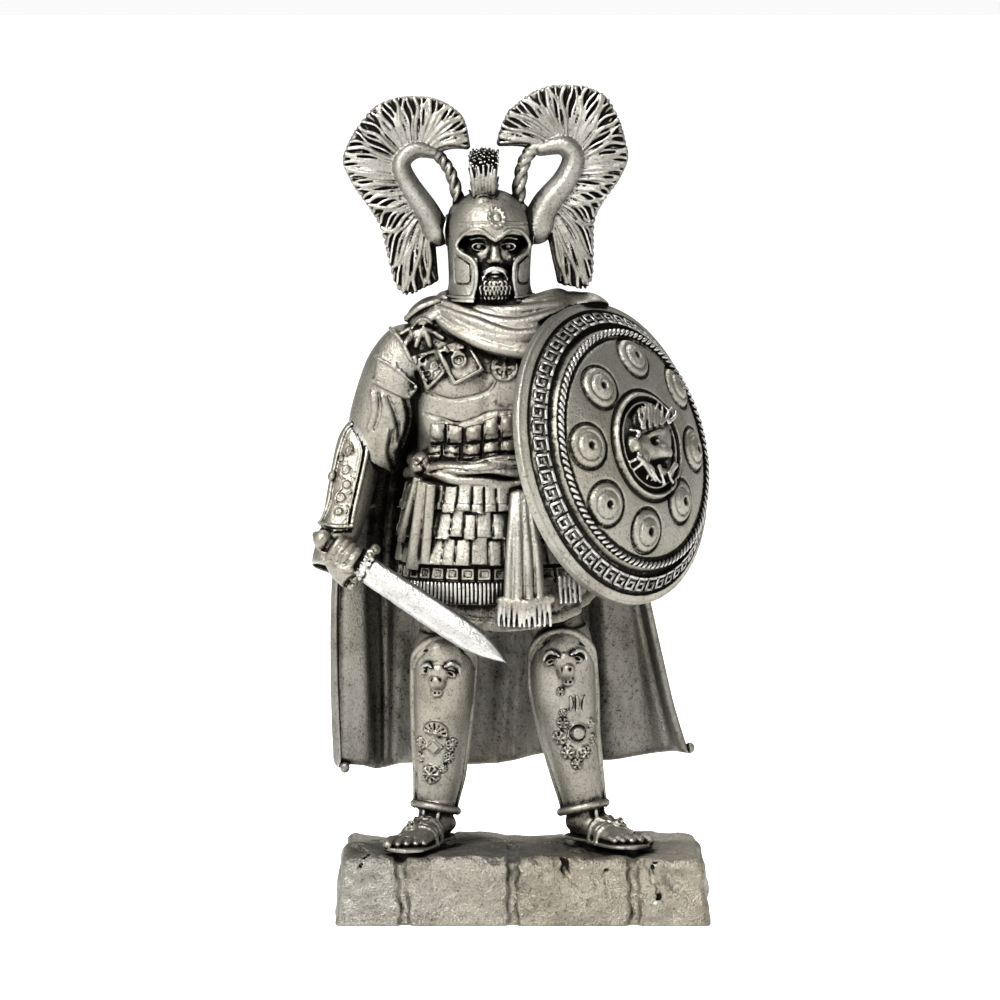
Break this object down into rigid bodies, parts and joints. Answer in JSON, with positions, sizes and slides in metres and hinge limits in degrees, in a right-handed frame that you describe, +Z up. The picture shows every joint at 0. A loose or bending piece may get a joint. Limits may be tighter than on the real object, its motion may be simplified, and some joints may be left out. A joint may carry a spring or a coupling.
{
  "type": "tin soldier figurine",
  "caption": "Cast tin warrior with helmet, side plumes on horns, cloak, short sword and a round domed shield, on a plinth of stone blocks.",
  "frame": {"origin": "middle of the plinth's flat underside", "axes": "+Z up, the soldier faces -Y, +X towards the shield"},
  "size_m": [0.0356, 0.023, 0.0734],
  "materials": {
    "cast_tin": "antiqued tin alloy, dark wash in the hollows, rubbed bright on the ridges",
    "rubbed_tin": "antiqued tin alloy, rubbed smoother and brighter",
    "tin_stone": "antiqued tin alloy with a stone texture"
  },
  "bodies": {
    "root": {"figure": "cast_tin", "shield": "rubbed_tin", "plume_right": "cast_tin", "plume_left": "cast_tin", "plinth": "tin_stone"}
  },
  "joints": []
}
